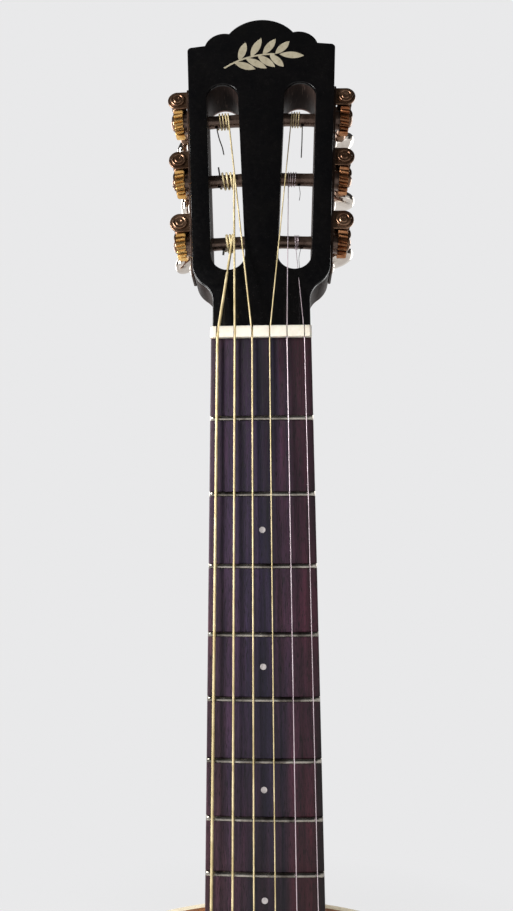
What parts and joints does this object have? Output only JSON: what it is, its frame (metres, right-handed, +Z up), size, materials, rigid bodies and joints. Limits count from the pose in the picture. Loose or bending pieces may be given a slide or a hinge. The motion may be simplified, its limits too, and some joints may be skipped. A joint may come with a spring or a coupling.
{
  "type": "acoustic guitar",
  "caption": "Small-bodied flat-top acoustic guitar with a slotted headstock, open-gear tuners, steel strings, bolt-on neck and pin bridge.",
  "frame": {"origin": "the strap button's seat on the tail end of the body rim, on the centreline, 50 mm behind the soundboard's face", "axes": "+Z up the neck towards the headstock, -Y towards the front (soundboard side), +X towards the treble side"},
  "size_m": [0.3518, 0.1181, 0.983],
  "materials": {
    "spruce_top": "gloss",
    "mahogany_body": "gloss",
    "cream_binding": "gloss",
    "inner_wood": "raw",
    "rosette_inlay": "gloss",
    "black_plastic": "gloss",
    "mahogany_neck": "satin",
    "black_head_veneer": "gloss",
    "cream_inlay": "gloss",
    "rosewood_board": "satin",
    "fret_wire": "polished",
    "pearl_dots": "pearl",
    "bone": "polished",
    "steel": "plain",
    "rosewood_bridge": "satin",
    "aged_brass_plate": "aged",
    "nickel": "polished",
    "post_steel": "polished",
    "gear_brass": "polished",
    "wound_string": "wound",
    "plain_string": "drawn"
  },
  "bodies": {
    "instrument": {"soundboard": "spruce_top", "back_plate": "mahogany_body", "sides": "mahogany_body", "bindings": "cream_binding", "linings": "inner_wood", "neck_block": "inner_wood", "tail_block": "inner_wood", "x_braces": "inner_wood", "top_braces": "inner_wood", "bridge_plate": "inner_wood", "back_braces": "inner_wood", "rosette": "rosette_inlay", "heel_cap": "cream_binding", "strap_button": "black_plastic", "neck": "mahogany_neck", "headplate": "black_head_veneer", "headstock_inlay": "cream_inlay", "fretboard": "rosewood_board", "frets": "fret_wire", "position_dots": "pearl_dots", "nut": "bone", "truss_rod": "steel", "neck_bolts": "steel", "bridge": "rosewood_bridge", "saddle": "bone", "bridge_pins": "black_plastic", "tuner_plate_bass": "aged_brass_plate", "tuner_plate_treble": "aged_brass_plate", "plate_screws": "nickel", "string_6_low_e": "wound_string", "string_5_a": "wound_string", "string_4_d": "wound_string", "string_3_g": "wound_string", "string_2_b": "plain_string", "string_1_high_e": "plain_string"},
    "tuner_key_6_low_e": {"worm_6_low_e": "nickel", "button_6_low_e": "nickel"},
    "string_post_6_low_e": {"post_6_low_e": "post_steel", "gear_6_low_e": "gear_brass"},
    "tuner_key_5_a": {"worm_5_a": "nickel", "button_5_a": "nickel"},
    "string_post_5_a": {"post_5_a": "post_steel", "gear_5_a": "gear_brass"},
    "tuner_key_4_d": {"worm_4_d": "nickel", "button_4_d": "nickel"},
    "string_post_4_d": {"post_4_d": "post_steel", "gear_4_d": "gear_brass"},
    "tuner_key_3_g": {"worm_3_g": "nickel", "button_3_g": "nickel"},
    "string_post_3_g": {"post_3_g": "post_steel", "gear_3_g": "gear_brass"},
    "tuner_key_2_b": {"worm_2_b": "nickel", "button_2_b": "nickel"},
    "string_post_2_b": {"post_2_b": "post_steel", "gear_2_b": "gear_brass"},
    "tuner_key_1_high_e": {"worm_1_high_e": "nickel", "button_1_high_e": "nickel"},
    "string_post_1_high_e": {"post_1_high_e": "post_steel", "gear_1_high_e": "gear_brass"},
    "truss_rod_adjuster": {"truss_rod_nut": "steel"}
  },
  "joints": [
    {"name": "key_turn_6_low_e", "type": "hinge", "parent": "instrument", "child": "tuner_key_6_low_e", "pos_m": [-0.03914, -0.02761, 0.85396], "axis": [0, 0.9781, -0.2079], "continuous": true},
    {"name": "post_turn_6_low_e", "type": "hinge", "parent": "instrument", "child": "string_post_6_low_e", "pos_m": [-0.03873, -0.02945, 0.84529], "axis": [-0.9989, -0.0096, -0.0453], "continuous": true},
    {"name": "key_turn_5_a", "type": "hinge", "parent": "instrument", "child": "tuner_key_5_a", "pos_m": [-0.04076, -0.02034, 0.88816], "axis": [0, 0.9781, -0.2079], "continuous": true},
    {"name": "post_turn_5_a", "type": "hinge", "parent": "instrument", "child": "string_post_5_a", "pos_m": [-0.04035, -0.02218, 0.87949], "axis": [-0.9989, -0.0096, -0.0453], "continuous": true},
    {"name": "key_turn_4_d", "type": "hinge", "parent": "instrument", "child": "tuner_key_4_d", "pos_m": [-0.04239, -0.01307, 0.92236], "axis": [0, 0.9781, -0.2079], "continuous": true},
    {"name": "post_turn_4_d", "type": "hinge", "parent": "instrument", "child": "string_post_4_d", "pos_m": [-0.04198, -0.01492, 0.91369], "axis": [-0.9989, -0.0096, -0.0453], "continuous": true},
    {"name": "key_turn_3_g", "type": "hinge", "parent": "instrument", "child": "tuner_key_3_g", "pos_m": [0.04239, -0.01307, 0.92236], "axis": [0, 0.9781, -0.2079], "continuous": true},
    {"name": "post_turn_3_g", "type": "hinge", "parent": "instrument", "child": "string_post_3_g", "pos_m": [0.04198, -0.01492, 0.91369], "axis": [0.9989, -0.0096, -0.0453], "continuous": true},
    {"name": "key_turn_2_b", "type": "hinge", "parent": "instrument", "child": "tuner_key_2_b", "pos_m": [0.04076, -0.02034, 0.88816], "axis": [0, 0.9781, -0.2079], "continuous": true},
    {"name": "post_turn_2_b", "type": "hinge", "parent": "instrument", "child": "string_post_2_b", "pos_m": [0.04035, -0.02218, 0.87949], "axis": [0.9989, -0.0096, -0.0453], "continuous": true},
    {"name": "key_turn_1_high_e", "type": "hinge", "parent": "instrument", "child": "tuner_key_1_high_e", "pos_m": [0.03914, -0.02761, 0.85396], "axis": [0, 0.9781, -0.2079], "continuous": true},
    {"name": "post_turn_1_high_e", "type": "hinge", "parent": "instrument", "child": "string_post_1_high_e", "pos_m": [0.03873, -0.02945, 0.84529], "axis": [0.9989, -0.0096, -0.0453], "continuous": true},
    {"name": "truss_rod_turn", "type": "hinge", "parent": "instrument", "child": "truss_rod_adjuster", "pos_m": [0, -0.0408, 0.445], "axis": [0, 0, 1], "range_deg": [-180, 180]}
  ],
  "couplings": [
    {"joint": "post_turn_6_low_e", "follows": "key_turn_6_low_e", "ratio": 0.071429},
    {"joint": "post_turn_5_a", "follows": "key_turn_5_a", "ratio": 0.071429},
    {"joint": "post_turn_4_d", "follows": "key_turn_4_d", "ratio": 0.071429},
    {"joint": "post_turn_3_g", "follows": "key_turn_3_g", "ratio": 0.071429},
    {"joint": "post_turn_2_b", "follows": "key_turn_2_b", "ratio": 0.071429},
    {"joint": "post_turn_1_high_e", "follows": "key_turn_1_high_e", "ratio": 0.071429}
  ]
}
